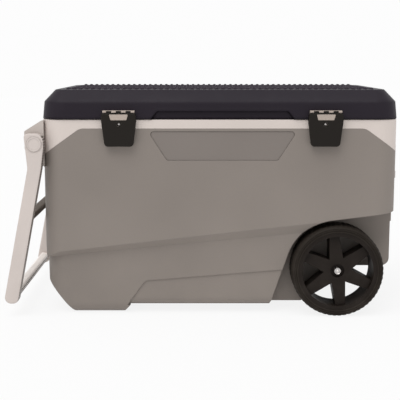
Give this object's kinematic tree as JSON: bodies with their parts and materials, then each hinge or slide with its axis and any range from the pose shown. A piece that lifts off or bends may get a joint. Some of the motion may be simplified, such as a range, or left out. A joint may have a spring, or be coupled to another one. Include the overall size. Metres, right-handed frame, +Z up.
{
  "type": "wheeled cooler",
  "caption": "Large insulated cool box with a hinged lid, front latches, a fold-down tow handle, spoked wheels, an end lift handle and a rear drain.",
  "frame": {"origin": "on the floor under the middle of the whole object", "axes": "+X from the tow handle to the wheels, -Y towards the latches, +Z up"},
  "size_m": [0.9056, 0.473, 0.5176],
  "materials": {
    "body_shell": "matt, fine moulded texture",
    "front_plate": "matt, smooth",
    "collar_white": "satin moulded",
    "lid_dark": "matt, fine moulded texture",
    "liner_white": "satin",
    "foam": "cellular",
    "latch_tan": "satin",
    "latch_black": "matt",
    "handle_white": "satin moulded",
    "tyre_black": "matt",
    "wheel_black": "satin",
    "cap_silver": "satin",
    "steel": "zinc plated",
    "seal_rubber": "matt"
  },
  "bodies": {
    "root": {"outer_shell": "body_shell", "front_plate": "front_plate", "collar": "collar_white", "liner_band": "liner_white", "liner_step": "liner_white", "liner_well": "liner_white", "liner_shelf": "liner_white", "foam_core": "foam", "body_hinge_leaves": "latch_black", "hinge_pins": "steel", "body_hinge_screws": "steel", "latch_keeper_left": "latch_tan", "latch_keeper_right": "latch_tan", "keeper_screws": "steel", "axle": "steel", "axle_spacers": "wheel_black", "axle_caps": "cap_silver", "axle_clamps": "steel", "axle_clamp_screws": "steel", "tow_brackets": "handle_white", "tow_bracket_screws": "steel", "tow_pivot_bolts": "steel", "lift_lugs": "handle_white", "lift_lug_screws": "steel", "lift_pins": "steel", "drain_housing": "wheel_black", "drain_gasket": "seal_rubber", "drain_nut": "wheel_black"},
    "lid": {"lid_shell": "lid_dark", "lid_grip": "lid_dark", "lid_inner_panel": "liner_white", "lid_foam": "foam", "lid_gasket": "seal_rubber", "lid_hinge_leaves": "latch_black", "lid_hinge_screws": "steel", "latch_base_left": "latch_tan", "latch_base_right": "latch_tan", "latch_base_screws": "steel", "latch_pin_left": "steel", "latch_pin_right": "steel"},
    "latch_left": {"latch_lever_left": "latch_black", "latch_inset_left": "latch_tan"},
    "latch_right": {"latch_lever_right": "latch_black", "latch_inset_right": "latch_tan"},
    "tow_handle": {"tow_arm_front": "handle_white", "tow_arm_rear": "handle_white", "tow_crossbar": "wheel_black", "tow_grip": "handle_white", "tow_pivot_cap_front": "handle_white", "tow_pivot_cap_rear": "handle_white"},
    "lift_handle": {"lift_handle": "handle_white"},
    "wheel_front": {"wheel_rim_front": "wheel_black", "wheel_centre_front": "wheel_black", "wheel_tyre_front": "tyre_black", "wheel_bush_front": "wheel_black"},
    "wheel_rear": {"wheel_rim_rear": "wheel_black", "wheel_centre_rear": "wheel_black", "wheel_tyre_rear": "tyre_black", "wheel_bush_rear": "wheel_black"},
    "drain_plug": {"drain_plug": "wheel_black"}
  },
  "joints": [
    {"name": "lid_hinge", "type": "hinge", "parent": "root", "child": "lid", "pos_m": [0.03551, 0.2295, 0.44975], "axis": [-1, 0, 0], "range_deg": [0, 100]},
    {"name": "latch_left_pivot", "type": "hinge", "parent": "lid", "child": "latch_left", "pos_m": [-0.18879, -0.232, 0.4668], "axis": [-1, 0, 0], "range_deg": [0, 90]},
    {"name": "latch_right_pivot", "type": "hinge", "parent": "lid", "child": "latch_right", "pos_m": [0.26821, -0.232, 0.4668], "axis": [-1, 0, 0], "range_deg": [0, 90]},
    {"name": "tow_pivot", "type": "hinge", "parent": "root", "child": "tow_handle", "pos_m": [-0.37759, 0, 0.3953], "axis": [0, 1, 0], "range_deg": [0, 110]},
    {"name": "lift_pivot", "type": "hinge", "parent": "root", "child": "lift_handle", "pos_m": [0.44481, 0, 0.382], "axis": [0, -1, 0], "range_deg": [0, 90]},
    {"name": "wheel_front_spin", "type": "hinge", "parent": "root", "child": "wheel_front", "pos_m": [0.30371, -0.189, 0.105], "axis": [0, 1, 0], "continuous": true},
    {"name": "wheel_rear_spin", "type": "hinge", "parent": "root", "child": "wheel_rear", "pos_m": [0.30371, 0.189, 0.105], "axis": [0, 1, 0], "continuous": true},
    {"name": "drain_pull", "type": "slide", "parent": "root", "child": "drain_plug", "axis": [0, 1, 0], "range_m": [0, 0.03]}
  ]
}
